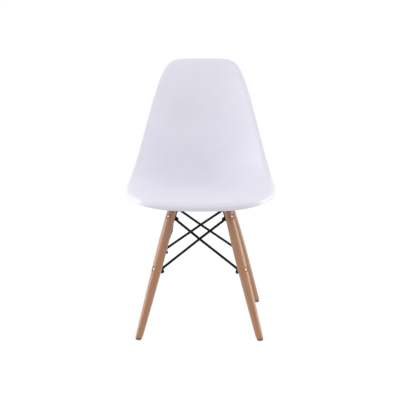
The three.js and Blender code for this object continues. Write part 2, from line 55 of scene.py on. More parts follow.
# Base: where the legs' axes pass through the floor and through the height BASE_HEIGHT
BASE_HEIGHT = 400
FOOT_X = 186
FOOT_Y = 200
TOP_X = 80
TOP_Y = 70
BASE_Y = (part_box("leg_front_left")[0].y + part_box("leg_rear_left")[1].y) / 2 / MM

# Shell
THICKNESS = 4.6
HALF_WIDTH = 232
LIP_TURN = math.radians(78)  # of the rim, as it rolls over
LIP_SPREAD = 1.4  # how far in the roll starts, in widths of the rolled rim
GROOVE_DEPTH = 1.4  # of the soft groove along the start of the roll
GROOVE_WIDTH = 4.0
GROOVE_PLACE = 2.5  # from the start of the roll out to the groove's middle
MOUNT_X = 84
MOUNT_Y = 40
BOSS_RADIUS = 11
BOSS_Z = 408.5

# Legs
LEG_TOP_Z = 384
LEG_RADII = [
    (0, 10.9), (90, 12.9), (220, 15), (300, 15.1), (345, 14.2), (384, 13.2), (400, 13), (440, 12.4),
]
BOLT_AZIMUTH = math.radians(44)  # of the leg bolts, from the fore-aft line
LOWER_BOLT_Z = 203
UPPER_BOLT_Z = 358.5
COUNTERBORE_RADIUS = 8
COUNTERBORE_DEPTH = 4.2

# Foot glides
GLIDE_RADIUS = 9.8
GLIDE_HEIGHT = 8
NAIL_RADIUS = 1.8
NAIL_LENGTH = 14

# Fasteners: M6 throughout
GAP = 0.3  # between pieces that touch
BOLT_RADIUS = 3
HOLE_RADIUS = BOLT_RADIUS + GAP
HEAD_RADIUS = 5.4
HEAD_HEIGHT = 3
SOCKET_FLATS = 4
SOCKET_DEPTH = 1.8
NUT_FLATS = 10
NUT_HEIGHT = 5
WASHER_RADIUS = 6.2
WASHER_THICKNESS = 1.2
BOLT_PAST_NUT = 2
SCREW_HEAD_RADIUS = 6
SCREW_HEAD_HEIGHT = 3.6
INSERT_RADIUS = 4.3
INSERT_LENGTH = 6

# Brace wires
WIRE_RADIUS = 3.9
WIRE_EYE_RADIUS = 7
WIRE_EYE_THICKNESS = 3.2
WIRE_NECK = 10.5  # from the eye's centre to the start of the round wire
WIRE_BEND = 14  # from the eye's centre to the bend
WIRE_BEND_RADIUS = 5
WIRE_FAN = math.radians(26)  # of a lower neck, from the leg's line
UPPER_FAN = math.radians(62)  # of an upper neck, from the leg's line
WIRE_PASS = 4.6  # how far each wire bows aside where the two cross

# Seat frame
RAIL_RADIUS = 4
RAIL_EYE_RADIUS = 8
RAIL_EYE_THICKNESS = 4
RAIL_NECK = 15
RAIL_BEND_RADIUS = 15
BAR_THICKNESS = 4
BAR_WIDTH = 24
BAR_EDGE = 0.7
BAR_HALF_LENGTH = 98
RUBBER_HEIGHT = 8
RUBBER_RADIUS = 14
RUBBER_Z = BOSS_Z - GAP - RUBBER_HEIGHT
BAR_Z = RUBBER_Z - GAP - BAR_THICKNESS
RAIL_Z = BAR_Z - GAP - RAIL_RADIUS

# Fineness
SHELL_CELLS = 151  # an odd number, so no point lies in the very middle
CELL_CROWDING = 1.35  # how strongly the shell's cells crowd towards its rim, under pi / 2
CURVE_POINTS = 400
RIM_STEPS = 8
SLOPE_STEP = 4e-3  # for the shell's slopes, as a part of its outline
LEG_SIDES = 72
ROUND_SIDES = 40
WIRE_SIDES = 24
SHARP = math.radians(32)  # a crease at least this sharp is shaded as an edge
PAST = 1  # how far a cutter runs past a face


# ------------------------ helpers


def through(pairs):
    """A smooth curve through (station, value) pairs, for numbers or arrays."""
    x = np.array([pair[0] for pair in pairs], float)
    y = np.array([pair[1] for pair in pairs], float)
    before = np.maximum(np.arange(len(x)) - 1, 0)
    after = np.minimum(np.arange(len(x)) + 1, len(x) - 1)
    slope = (y[after] - y[before]) / (x[after] - x[before])

    def value(station):
        k = np.clip(np.searchsorted(x, station, side="right") - 1, 0, len(x) - 2)
        width = x[k + 1] - x[k]
        t = np.clip((station - x[k]) / width, 0, 1)
        start = y[k] * (1 + 2 * t) * (1 - t) ** 2 + slope[k] * width * t * (1 - t) ** 2
        end = y[k + 1] * t * t * (3 - 2 * t) - slope[k + 1] * width * t * t * (1 - t)
        return start + end

    return value


def smooth(t):
    """0 to 1 with a soft start and a soft end."""
    t = min(1.0, max(0.0, t))
    return t * t * (3 - 2 * t)


def circle(sides):
    """The cosine and sine of each of a circle's points."""
    turns = [2 * math.pi * k / sides for k in range(sides)]
    return [(math.cos(turn), math.sin(turn)) for turn in turns]


def lathe(outline, sides=ROUND_SIDES):
    """A mesh turned about Z from its (radius, height) outline, which starts and ends on the axis
    or closes on itself."""
    mesh = bmesh.new()
    closed = outline[0] == outline[-1]
    if closed:
        outline = outline[:-1]
    rings = []
    for radius, height in outline:
        if radius == 0:
            rings.append([mesh.verts.new((0, 0, height))])
            continue
        rings.append([mesh.verts.new((radius * c, radius * s, height)) for c, s in circle(sides)])
    pairs = list(zip(rings, rings[1:])) + ([(rings[-1], rings[0])] if closed else [])
    for low, high in pairs:
        for k in range(sides):
            n = (k + 1) % sides
            if len(low) == 1:
                mesh.faces.new((low[0], high[n], high[k]))
            elif len(high) == 1:
                mesh.faces.new((low[k], low[n], high[0]))
            else:
                mesh.faces.new((low[k], low[n], high[n], high[k]))
    bmesh.ops.recalc_face_normals(mesh, faces=mesh.faces)
    return mesh


def loft(rings, mesh=None):
    """A closed solid through rings of equally many points, flat at both ends. It is added to
    `mesh`, or made in a mesh of its own."""
    if mesh is None:
        mesh = bmesh.new()
    loops = [[mesh.verts.new(point) for point in ring] for ring in rings]
    for low, high in zip(loops, loops[1:]):
        for k in range(len(low)):
            n = (k + 1) % len(low)
            mesh.faces.new((low[k], low[n], high[n], high[k]))
    mesh.faces.new(reversed(loops[0]))
    mesh.faces.new(loops[-1])
    bmesh.ops.recalc_face_normals(mesh, faces=mesh.faces)
    return mesh


def arc(centre, radius, start, end, steps, rise=None):
    """Points of a round in a (radius, height) outline, angles in degrees from the radius axis.
    `rise` is its radius along the height where that is another."""
    if rise is None:
        rise = radius
    angles = [math.radians(start + (end - start) * k / steps) for k in range(steps + 1)]
    return [(centre[0] + radius * math.cos(a), centre[1] + rise * math.sin(a)) for a in angles]


def hexagon(flats, bottom, top):
    """An upright hexagonal prism."""
    corner = flats / math.sqrt(3)
    return lathe([(0, bottom), (corner, bottom), (corner, top), (0, top)], sides=6)


def boolean(base, operation, *others):
    """base joined with, cut by or kept within other closed meshes. It uses them all up."""
    made = []
    for mesh in (base, *others):
        data = bpy.data.meshes.new("solid")
        mesh.to_mesh(data)
        mesh.free()
        made.append(bpy.data.objects.new("solid", data))
        bpy.context.scene.collection.objects.link(made[-1])
    for other in made[1:]:
        modifier = made[0].modifiers.new("boolean", "BOOLEAN")
        modifier.operation = operation
        modifier.solver = "EXACT"
        modifier.object = other
    shown = made[0].evaluated_get(bpy.context.evaluated_depsgraph_get())
    result = bmesh.new()
    result.from_mesh(shown.to_mesh())
    for thing in made:
        data = thing.data
        bpy.data.objects.remove(thing)
        bpy.data.meshes.remove(data)
    return result


def cut(base, *others):
    return boolean(base, "DIFFERENCE", *others)


def moved(mesh, matrix):
    mesh.transform(matrix)
    return mesh


def add_piece(name, mesh, material, replaces, place=None, grain=(0, 0, 0)):
    """Puts a mesh into the scene in metres, riding on the chair. Its "local" attribute keeps each
    point's place in the piece's own frame, moved by `grain`, for the materials."""
    data = bpy.data.meshes.new(name)
    mesh.to_mesh(data)
    local = data.attributes.new("local", "FLOAT_VECTOR", "POINT")
    points = np.empty(len(data.vertices) * 3, np.float32)
    data.vertices.foreach_get("co", points)
    shifted = points.reshape(-1, 3) + np.array(grain, np.float32)
    local.data.foreach_set("vector", (shifted * MM).ravel())
    if place is not None:
        data.transform(place)
    data.transform(Matrix.Scale(MM, 4))
    data.polygons.foreach_set("use_smooth", [True] * len(data.polygons))
    data.set_sharp_from_angle(angle=SHARP)
    data.materials.append(material)
    mesh.free()
    thing = bpy.data.objects.new(name, data)
    bpy.context.scene.collection.objects.link(thing)
    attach(thing, "root")
    if replaces:
        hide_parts(*replaces)
    return thing


# ------------------------ materials


class Shader:
    """A material whose nodes are made by short calls."""

    def __init__(self, name, **settings):
        self.material = bpy.data.materials.new(name)
        self.material.use_nodes = True
        self.tree = self.material.node_tree
        self.surface = self.tree.nodes["Principled BSDF"]
        for socket, value in settings.items():
            self.surface.inputs[socket.replace("_", " ")].default_value = value
        self.local = self.node("ShaderNodeAttribute", attribute_name="local").outputs["Vector"]

    def node(self, kind, inputs=None, **settings):
        made = self.tree.nodes.new(kind)
        for key, value in settings.items():
            setattr(made, key, value)
        for key, value in (inputs or {}).items():
            if isinstance(value, bpy.types.NodeSocket):
                self.tree.links.new(value, made.inputs[key])
            else:
                made.inputs[key].default_value = value
        return made

    def stretched(self, scale):
        return self.node("ShaderNodeMapping", {"Vector": self.local, "Scale": scale}).outputs[0]

    def noise(self, vector, scale, detail, roughness=0.5):
        inputs = {"Vector": vector, "Scale": scale, "Detail": detail, "Roughness": roughness}
        return self.node("ShaderNodeTexNoise", inputs).outputs["Fac"]

    def ramp(self, value, *stops):
        made = self.node("ShaderNodeValToRGB", {"Fac": value})
        elements = made.color_ramp.elements
        while len(elements) < len(stops):
            elements.new(0.5)
        for element, (position, colour) in zip(elements, stops):
            element.position = position
            element.color = (*colour, 1) if isinstance(colour, tuple) else (colour, colour, colour, 1)
        return made.outputs["Color"]

    def span(self, value, low, high):
        """value's 0 to 1 as low to high."""
        inputs = {"Value": value, "To Min": low, "To Max": high}
        return self.node("ShaderNodeMapRange", inputs).outputs["Result"]

    def math(self, operation, first, second=0.0):
        return self.node("ShaderNodeMath", {0: first, 1: second}, operation=operation).outputs[0]

    def mix(self, share, first, second):
        inputs = {0: share, 6: first, 7: second}
        return self.node("ShaderNodeMix", inputs, data_type="RGBA").outputs[2]

    def bump(self, height, strength, distance, under=None):
        inputs = {"Height": height, "Strength": strength, "Distance": distance}
        if under is not None:
            inputs["Normal"] = under
        return self.node("ShaderNodeBump", inputs).outputs["Normal"]

    def set(self, **sockets):
        for socket, value in sockets.items():
            self.tree.links.new(value, self.surface.inputs[socket.replace("_", " ")])
        return self.material


def shell_plastic():
    """Cool white polypropylene: satin, with a fine moulded grain, faint flow clouds and scuffs."""
    s = Shader("shell_plastic", Specular_IOR_Level=0.5, Subsurface_Weight=0.12, Subsurface_Scale=0.004)
    s.surface.inputs["Subsurface Radius"].default_value = (1.0, 0.95, 1.0)
    clouds = s.noise(s.local, 9, detail=2)
    colour = s.ramp(clouds, (0.3, (0.748, 0.729, 0.817)), (0.7, (0.778, 0.760, 0.843)))
    dust = s.noise(s.local, 320, detail=2)
    colour = s.mix(s.ramp(dust, (0.7, 0.0), (0.82, 0.10)), colour, (0.60, 0.59, 0.64, 1))
    grain = s.noise(s.local, 2600, detail=2, roughness=0.6)
    flow = s.noise(s.stretched((1, 1, 0.35)), 24, detail=2)
    scuffs = s.noise(s.stretched((1, 6, 2)), 70, detail=4, roughness=0.7)
    roughness = s.span(s.mix(0.35, flow, scuffs), 0.30, 0.46)
    bump = s.bump(grain, 0.12, 0.0002)
    bump = s.bump(flow, 0.10, 0.0006, bump)
    return s.set(Base_Color=colour, Roughness=roughness, Normal=bump)


def beech():
    """Satin lacquered beech, its grain along the leg: year rings cut lengthways, fine reddish
    flecks, and a slow change of tone."""
    s = Shader(
        "beech", Specular_IOR_Level=0.45, Coat_Weight=1.0, Coat_Roughness=0.42, Sheen_Weight=1.0,
        Sheen_Roughness=0.42)
    rings = s.node("ShaderNodeTexWave", {
        "Vector": s.stretched((1, 1, 0.06)), "Scale": 105, "Distortion": 5.5, "Detail": 3,
        "Detail Scale": 0.9, "Detail Roughness": 0.6,
    }, wave_type="RINGS", rings_direction="Z", wave_profile="SAW").outputs["Fac"]
    colour = s.ramp(
        rings,
        (0.0, (0.424, 0.181, 0.061)), (0.55, (0.382, 0.152, 0.047)), (0.9, (0.301, 0.106, 0.029)),
        (1.0, (0.410, 0.169, 0.055)),
    )
    fibres = s.noise(s.stretched((1, 1, 0.02)), 900, detail=3, roughness=0.65)
    colour = s.mix(s.span(fibres, 0.0, 0.34), colour, (0.215, 0.080, 0.030, 1))
    flecks = s.noise(s.stretched((1, 1, 0.075)), 1500, detail=1)
    marks = s.ramp(flecks, (0.635, 0.0), (0.70, 0.62))
    colour = s.mix(marks, colour, (0.176, 0.071, 0.033, 1))
    tone = s.noise(s.stretched((1, 1, 0.25)), 22, detail=1)
    colour = s.mix(s.span(tone, 0.0, 0.30), colour, (0.490, 0.275, 0.135, 1))
    roughness = s.span(s.mix(0.5, fibres, flecks), 0.34, 0.56)
    bump = s.bump(fibres, 0.18, 0.00015)
    bump = s.bump(marks, -0.25, 0.00012, bump)
    return s.set(Base_Color=colour, Roughness=roughness, Normal=bump)


def black_steel():
    """Satin black powder coat: fine orange peel, a little dust in faint blotches."""
    s = Shader("black_steel", Specular_IOR_Level=0.15)
    peel = s.noise(s.local, 1400, detail=2)
    blotches = s.noise(s.local, 90, detail=3)
    colour = s.ramp(blotches, (0.35, (0.0040, 0.0038, 0.0042)), (0.75, (0.0085, 0.0080, 0.0086)))
    roughness = s.span(blotches, 0.36, 0.58)
    return s.set(Base_Color=colour, Roughness=roughness, Normal=s.bump(peel, 0.25, 0.0002))


def zinc_steel(name="zinc_steel", dull=0.0, oil_and_shade_from=1.0):
    """Zinc plate over turned steel. `dull` tarnishes it, from 0 to 1. Past a height, in metres, set by the
    last argument and more than any piece has unless it is set, it is near black: oil, and painted shade."""
    s = Shader(name, Metallic=1.0)
    turning = s.node("ShaderNodeTexWave", {
        "Vector": s.local, "Scale": 900, "Distortion": 0.6, "Detail": 2,
    }, wave_type="RINGS", rings_direction="Z").outputs["Fac"]
    haze = s.noise(s.local, 260, detail=3)
    colour = s.ramp(haze, (0.3, (0.60, 0.61, 0.63)), (0.7, (0.74, 0.745, 0.76)))
    height = s.node("ShaderNodeSeparateXYZ", {0: s.local}).outputs["Z"]
    colour = s.mix(dull, colour, (0.46, 0.34, 0.26, 1))
    # Past that height the colour is near black: oil, and painted shade on the bolt's end inside the legs.
    oil_and_painted_shade = s.math("GREATER_THAN", height, oil_and_shade_from)
    colour = s.mix(oil_and_painted_shade, colour, (0.010, 0.0095, 0.009, 1))
    roughness = s.span(haze, 0.20 + 0.2 * dull, 0.42 + 0.2 * dull)
    return s.set(Base_Color=colour, Roughness=roughness, Normal=s.bump(turning, 0.12, 0.0001))


def rubber():
    """Matt black moulded rubber."""
    s = Shader("rubber", Specular_IOR_Level=0.3)
    bloom = s.noise(s.local, 120, detail=4)
    pores = s.noise(s.local, 1800, detail=2)
    colour = s.ramp(bloom, (0.35, (0.012, 0.012, 0.012)), (0.8, (0.030, 0.029, 0.028)))
    roughness = s.span(bloom, 0.72, 0.92)
    return s.set(Base_Color=colour, Roughness=roughness, Normal=s.bump(pores, 0.3, 0.0003))


def brass():
    """Plain turned brass."""
    s = Shader("brass", Metallic=1.0)
    tarnish = s.noise(s.local, 240, detail=3)
    colour = s.ramp(tarnish, (0.3, (0.50, 0.34, 0.13)), (0.7, (0.70, 0.52, 0.24)))
    roughness = s.span(tarnish, 0.26, 0.48)
    return s.set(Base_Color=colour, Roughness=roughness, Normal=s.bump(tarnish, 0.1, 0.0001))


def glide_plastic():
    """Dark moulded plastic, worn dull where it meets the floor."""
    s = Shader("glide_plastic", Specular_IOR_Level=0.4)
    height = s.node("ShaderNodeSeparateXYZ", {0: s.local}).outputs["Z"]
    worn = s.node("ShaderNodeMapRange", {
        "Value": height, "From Min": 0.0, "From Max": 0.0012, "To Min": 1.0, "To Max": 0.0,
    }).outputs["Result"]
    scratches = s.noise(s.stretched((1, 5, 1)), 500, detail=4, roughness=0.7)
    colour = s.ramp(scratches, (0.3, (0.170, 0.108, 0.088)), (0.75, (0.235, 0.152, 0.124)))
    colour = s.mix(s.math("MULTIPLY", worn, 0.5), colour, (0.30, 0.24, 0.21, 1))
    roughness = s.span(worn, 0.48, 0.8)
    return s.set(Base_Color=colour, Roughness=roughness, Normal=s.bump(scratches, 0.2, 0.0002))


SHELL_PLASTIC = shell_plastic()
BEECH = beech()
BLACK_STEEL = black_steel()
ZINC_STEEL = zinc_steel()
BOLT_STEEL = zinc_steel("bolt_steel", dull=0.5, oil_and_shade_from=0.0)  # near black from the leg's axis on: oil, and painted shade
RUBBER = rubber()
BRASS = brass()
GLIDE_PLASTIC = glide_plastic()


# ------------------------ camera, lights and floor

# The photograph's view: its height and turn round the chair, and how far away it is.
VIEW_ELEVATION = math.radians(11.59)
VIEW_AZIMUTH = math.radians(1.22)
VIEW_DISTANCE = 3.524
VIEW_TARGET = Vector((0, BASE_Y * MM, 0.42))

# Softboxes: name, place and size in metres, power in watts.
SOFTBOXES = [
    ("left_softbox", (-3.0, -0.1, 1.3), (1.6, 2.6), 50),
    ("right_softbox", (3.0, 0.3, 1.1), (1.2, 2.2), 44),
]

# The sky: light from everywhere, and more of it towards some sides. Each side is given by an axis,
# where along it the light starts and where it is full, and how bright it is there.
SKY_LEVEL = 0.64
SKY_SIDES = [
    ("Z", -0.3, 0.05, 0.15),  # above the horizon
    ("Y", 0.1, -0.9, 0.18),  # in front
    ("Y", 0.1, 0.9, 0.10),  # behind
]

# The floor, a bright sheet that lights nothing: its reach from the chair, in metres, and its glow.
FLOOR_REACH = 60
FLOOR_GLOW = 0.865


def aimed(name, data, place):
    """A camera or light in the scene at `place`, looking at the chair."""
    thing = bpy.data.objects.new(name, data)
    thing.location = place
    thing.rotation_mode = "QUATERNION"
    thing.rotation_quaternion = (Vector(place) - VIEW_TARGET).to_track_quat("Z", "Y")
    bpy.context.scene.collection.objects.link(thing)
    return thing


def add_camera():
    back = Vector((
        math.sin(VIEW_AZIMUTH) * math.cos(VIEW_ELEVATION),
        -math.cos(VIEW_AZIMUTH) * math.cos(VIEW_ELEVATION),
        math.sin(VIEW_ELEVATION),
    ))
    data = bpy.data.cameras.new("camera")
    data.sensor_width = 36
    data.lens = 100.7
    data.shift_x = -0.0016
    data.shift_y = -0.0198
    bpy.context.scene.camera = aimed("camera", data, VIEW_TARGET + back * VIEW_DISTANCE)


def add_softboxes():
    for name, place, size, power in SOFTBOXES:
        data = bpy.data.lights.new(name, "AREA")
        data.shape = "RECTANGLE"
        data.size, data.size_y = size
        data.energy = power
        aimed(name, data, place)


def add_sky():
    world = bpy.data.worlds.new("studio")
    world.use_nodes = True
    tree = world.node_tree
    toward = tree.nodes.new("ShaderNodeTexCoord").outputs["Generated"]
    split = tree.nodes.new("ShaderNodeSeparateXYZ")
    tree.links.new(toward, split.inputs[0])
    level = tree.nodes.new("ShaderNodeValue").outputs[0]
    level.default_value = SKY_LEVEL
    for axis, start, full, brightness in SKY_SIDES:
        side = tree.nodes.new("ShaderNodeMapRange")
        tree.links.new(split.outputs[axis], side.inputs["Value"])
        for socket, value in (("From Min", start), ("From Max", full), ("To Max", brightness)):
            side.inputs[socket].default_value = value
        total = tree.nodes.new("ShaderNodeMath")
        total.operation = "ADD"
        tree.links.new(side.outputs["Result"], total.inputs[0])
        tree.links.new(level, total.inputs[1])
        level = total.outputs[0]
    tree.nodes["Background"].inputs["Color"].default_value = (1.0, 1.0, 1.0, 1)
    tree.links.new(level, tree.nodes["Background"].inputs["Strength"])
    bpy.context.scene.world = world
    bpy.context.scene.view_settings.view_transform = "Standard"


def add_floor():
    paper = Shader(
        "floor_paper", Base_Color=(0.15, 0.15, 0.15, 1), Roughness=0.9, Specular_IOR_Level=0.1,
        Emission_Color=(1, 1, 1, 1), Emission_Strength=FLOOR_GLOW)
    mesh = bmesh.new()
    bmesh.ops.create_grid(mesh, x_segments=1, y_segments=1, size=FLOOR_REACH)
    data = bpy.data.meshes.new("floor")
    mesh.to_mesh(data)
    mesh.free()
    data.materials.append(paper.material)
    floor = bpy.data.objects.new("floor", data)
    bpy.context.scene.collection.objects.link(floor)
    floor.visible_diffuse = False
    floor.visible_glossy = False


add_camera()
add_softboxes()
add_sky()
add_floor()


# ------------------------ shell


def profile(curves):
    """A line in the YZ plane, made of cubic curves, as a function of the share of its length."""
    t = np.linspace(0, 1, CURVE_POINTS)[:, None]
    places = []
    for a, b, c, d in np.array(curves, float):
        places.append(a * (1 - t) ** 3 + 3 * b * t * (1 - t) ** 2 + 3 * c * t * t * (1 - t) + d * t**3)
    places = np.concatenate(places)
    steps = np.linalg.norm(np.diff(places, axis=0), axis=1)
    length = np.concatenate([[0], np.cumsum(steps)])
    length /= length[-1]

    def at(share):
        return np.interp(share, length, places[:, 0]), np.interp(share, length, places[:, 1])

    return at


centre_line = profile([
    [(-227, 416), (-218, 427), (-203, 437), (-170, 438)],  # front edge
    [(-170, 438), (-100, 438), (-20, 418), (56, 418)],  # seat
    [(56, 418), (128, 418), (176, 446), (190, 512)],  # bend into the back
    [(190, 512), (203, 574), (240, 712), (263, 780)],  # back
    [(263, 780), (267, 792), (272, 806), (278, 818.5)],  # top edge
])
side_line = profile([
    [(-226, 438), (-214, 441), (-198, 442), (-180, 442)],
    [(-180, 442), (-140, 442), (-110, 441), (-70, 443)],
    [(-70, 443), (20, 448), (88, 462), (122, 520)],
    [(122, 520), (150, 568), (205, 700), (240, 772)],
    [(240, 772), (247, 788), (255, 803), (264, 818)],
])
half_width_at = through([
    (0, 0.94), (0.13, 0.985), (0.28, 1), (0.36, 0.98), (0.45, 0.935), (0.53, 0.875), (0.66, 0.787),
    (0.79, 0.694), (0.92, 0.598), (1, 0.548),
])
lip_width_at = through([(0, 14), (0.24, 15), (0.36, 12.5), (0.5, 10), (0.9, 9), (1, 8)])
lip_depth_at = through([
    (0, 16), (0.035, 15), (0.09, 13), (0.24, 14), (0.36, 11), (0.5, 8), (0.9, 7), (1, 6.5),
])
SIDE_POWER = 2.1  # how late the upper face leaves the centre line for the side line
FRONT_ROUNDING = 5.2
TOP_ROUNDING = 7.5
SEAT_SHARE = 0.55  # the seat is within this share of the centre line's length


def sheet_point(across, along):
    """The upper face before its rim is rolled, for arrays of -1 to 1 across and 0 to 1 along."""
    share = np.abs(across) ** SIDE_POWER
    centre_y, centre_z = centre_line(along)
    side_y, side_z = side_line(along)
    return np.stack([
        across * HALF_WIDTH * half_width_at(along),
        centre_y + (side_y - centre_y) * share + BASE_Y,
        centre_z + (side_z - centre_z) * share,
    ], axis=-1)


def unit(vectors):
    return vectors / np.linalg.norm(vectors, axis=-1, keepdims=True)


def sheet_normal(across, along):
    low, high = np.clip(along - SLOPE_STEP, 0, 1), np.clip(along + SLOPE_STEP, 0, 1)
    sideways = sheet_point(across + SLOPE_STEP, along) - sheet_point(across - SLOPE_STEP, along)
    forwards = sheet_point(across, high) - sheet_point(across, low)
    return unit(np.cross(sideways, forwards))


def reach_of(u, v):
    return np.maximum(np.abs(u), np.abs(v))


def spot(u, v):
    """Where a point of a square, -1 to 1 each way, lies in the shell's rounded outline."""
    power = np.where(v < 0, FRONT_ROUNDING, TOP_ROUNDING)
    size = (np.abs(u) ** power + np.abs(v) ** power) ** (1 / power)
    scale = reach_of(u, v) / np.maximum(size, 1e-9)
    return u * scale, 0.5 + 0.5 * v * scale


def swung(u, v, turn):
    """A point of the square moved round the middle, and as far out as before."""
    a, b = u - turn * v, v + turn * u
    scale = reach_of(u, v) / reach_of(a, b)
    return a * scale, b * scale


def span_to(u, v):
    """How far a whole reach goes from the middle to the rim, measured square to the rim."""
    inner = 0.95
    outwards = (sheet_point(*spot(u, v)) - sheet_point(*spot(inner * u, inner * v))) / (1 - inner)
    ahead, behind = swung(u, v, SLOPE_STEP), swung(u, v, -SLOPE_STEP)
    rimwards = unit(sheet_point(*spot(*ahead)) - sheet_point(*spot(*behind)))
    return np.linalg.norm(np.cross(outwards, rimwards), axis=-1)


def shell_point(u, v):
    """The upper face with its rim rolled over, at points of the square."""
    reach = reach_of(u, v)
    rim_u, rim_v = u / reach, v / reach
    station = spot(rim_u, rim_v)[1]
    span = span_to(rim_u, rim_v)
    width = lip_width_at(station) / span
    start = 1 - LIP_SPREAD * width
    turn = LIP_TURN * np.maximum(0, (reach - start) / (1 - start))
    flat = reach * (1 - width) / start
    rolled = 1 - width * (1 - np.sin(turn) / math.sin(LIP_TURN))
    lateral = np.where(reach < start, flat, rolled)
    drop = lip_depth_at(station) * (1 - np.cos(turn)) / (1 - math.cos(LIP_TURN))
    past = (reach - start) * span - GROOVE_PLACE
    drop = drop + GROOVE_DEPTH * np.exp(-((past / GROOVE_WIDTH) ** 2))
    place = spot(rim_u * lateral, rim_v * lateral)
    return sheet_point(*place) - sheet_normal(*place) * drop[..., None]


def shell_normal(u, v):
    outer = np.minimum(1 + SLOPE_STEP, 1 / reach_of(u, v))
    inner = outer - 2 * SLOPE_STEP
    outwards = shell_point(u * outer, v * outer) - shell_point(u * inner, v * inner)
    rimwards = shell_point(*swung(u, v, SLOPE_STEP)) - shell_point(*swung(u, v, -SLOPE_STEP))
    return unit(np.cross(outwards, rimwards))


def shell_sheet():
    """The upper and the lower face, closed round the rim by a half round."""
    count = SHELL_CELLS + 1
    even = 2 * np.arange(count) / SHELL_CELLS - 1
    spread = np.sin(even * CELL_CROWDING) / math.sin(CELL_CROWDING)
    u, v = np.meshgrid(spread, spread)
    upper, normal = shell_point(u, v), shell_normal(u, v)
    lower = upper - normal * THICKNESS
    rim = [(0, k) for k in range(SHELL_CELLS)]
    rim += [(k, SHELL_CELLS) for k in range(SHELL_CELLS)]
    rim += [(SHELL_CELLS, SHELL_CELLS - k) for k in range(SHELL_CELLS)]
    rim += [(SHELL_CELLS - k, 0) for k in range(SHELL_CELLS)]
    rows, columns = np.array(rim).T
    edge, edge_normal = upper[rows, columns], normal[rows, columns]
    ahead = unit(np.roll(edge, -1, axis=0) - np.roll(edge, 1, axis=0))
    outward = unit(np.cross(ahead, edge_normal))
    mesh = bmesh.new()
    grids = [
        [[mesh.verts.new(point) for point in row] for row in grid] for grid in (upper, lower)
    ]
    for j in range(SHELL_CELLS):
        for i in range(SHELL_CELLS):
            (a, b), (d, c) = grids[0][j][i : i + 2], grids[0][j + 1][i : i + 2]
            mesh.faces.new((a, b, c, d))
            (a, b), (d, c) = grids[1][j][i : i + 2], grids[1][j + 1][i : i + 2]
            mesh.faces.new((a, d, c, b))
    loops = [[grids[0][j][i] for j, i in rim]]
    for step in range(1, RIM_STEPS):
        turn = math.pi * step / RIM_STEPS
        ring = edge - edge_normal * THICKNESS / 2 * (1 - math.cos(turn))
        ring = ring + outward * THICKNESS / 2 * math.sin(turn)
        loops.append([mesh.verts.new(point) for point in ring])
    loops.append([grids[1][j][i] for j, i in rim])
    for first, second in zip(loops, loops[1:]):
        for k in range(len(rim)):
            n = (k + 1) % len(rim)
            mesh.faces.new((first[k], second[k], second[n], first[n]))
    bmesh.ops.recalc_face_normals(mesh, faces=mesh.faces)
    return mesh


def seat_height(x, y):
    """Height of the seat's upper face over a point of the floor plan."""
    shares = np.linspace(0, SEAT_SHARE, 2000)
    share = float(np.interp(y, centre_line(shares)[0], shares))
    across = x / (HALF_WIDTH * float(half_width_at(share)))
    return float(sheet_point(np.array(across), np.array(share))[2])


MOUNTS = [
    (f"{end}_{side}", sx * MOUNT_X, sy * MOUNT_Y)
    for end, sy in (("front", -1), ("rear", 1))
    for side, sx in (("left", -1), ("right", 1))
]
BOSS_FLARE = 5  # radius of the fillet where a boss meets the shell
BOSS_EDGE = 0.8
BOSS_SINK = 0.6  # how far the fillet's end lies inside the shell


def boss(x, y):
    """A boss that flares into the underside of the shell."""
    top = seat_height(x, y) - THICKNESS
    flare, root = BOSS_RADIUS + BOSS_FLARE, top + THICKNESS / 2
    outline = [(0, BOSS_Z), (BOSS_RADIUS - BOSS_EDGE, BOSS_Z), (BOSS_RADIUS, BOSS_Z + BOSS_EDGE)]
    outline += arc((flare, top - BOSS_FLARE + BOSS_SINK), BOSS_FLARE, 180, 90, 6)
    outline += [(flare, root), (0, root)]
    return moved(lathe(outline), Matrix.Translation((x, y + BASE_Y, 0)))


def bore(x, y):
    """Cutter for a boss's bore, with a broken edge at its mouth."""
    radius = INSERT_RADIUS + GAP
    deep, mouth = BOSS_Z + INSERT_LENGTH + GAP, 1
    outline = [
        (0, BOSS_Z - mouth), (radius + mouth, BOSS_Z - mouth), (radius, BOSS_Z + 0.4),
        (radius, deep), (0, deep),
    ]
    return moved(lathe(outline), Matrix.Translation((x, y + BASE_Y, 0)))


def add_shell():
    shell = boolean(shell_sheet(), "UNION", *[boss(x, y) for _, x, y in MOUNTS])
    shell = cut(shell, *[bore(x, y) for _, x, y in MOUNTS])
    add_piece("moulded_shell", shell, SHELL_PLASTIC, ["seat_shell"])


add_shell()


# ------------------------ shell mounts

PLAIN_SHANK = 9  # a shell screw's length without a thread, from its head
TIP_CHAMFER = 0.8
SCREW_SHORT = 1  # from a shell screw's tip up to its insert's top
THREAD_PITCH = 1.0
THREAD_DEPTH = 0.45
THREAD_CREST = 0.1  # half the flat top of each ridge
THREAD_LEAD = 6  # a leg bolt's thread ahead of its washer


def threaded(radius, low, high):
    """Outline of a thread from low to high, as a row of grooves."""
    points = []
    turns = int((high - low) / THREAD_PITCH)
    for turn in range(turns):
        start = low + turn * THREAD_PITCH
        points += [(radius, start + THREAD_CREST), (radius - THREAD_DEPTH, start + THREAD_PITCH / 2)]
        points += [(radius, start + THREAD_PITCH - THREAD_CREST)]
    return points


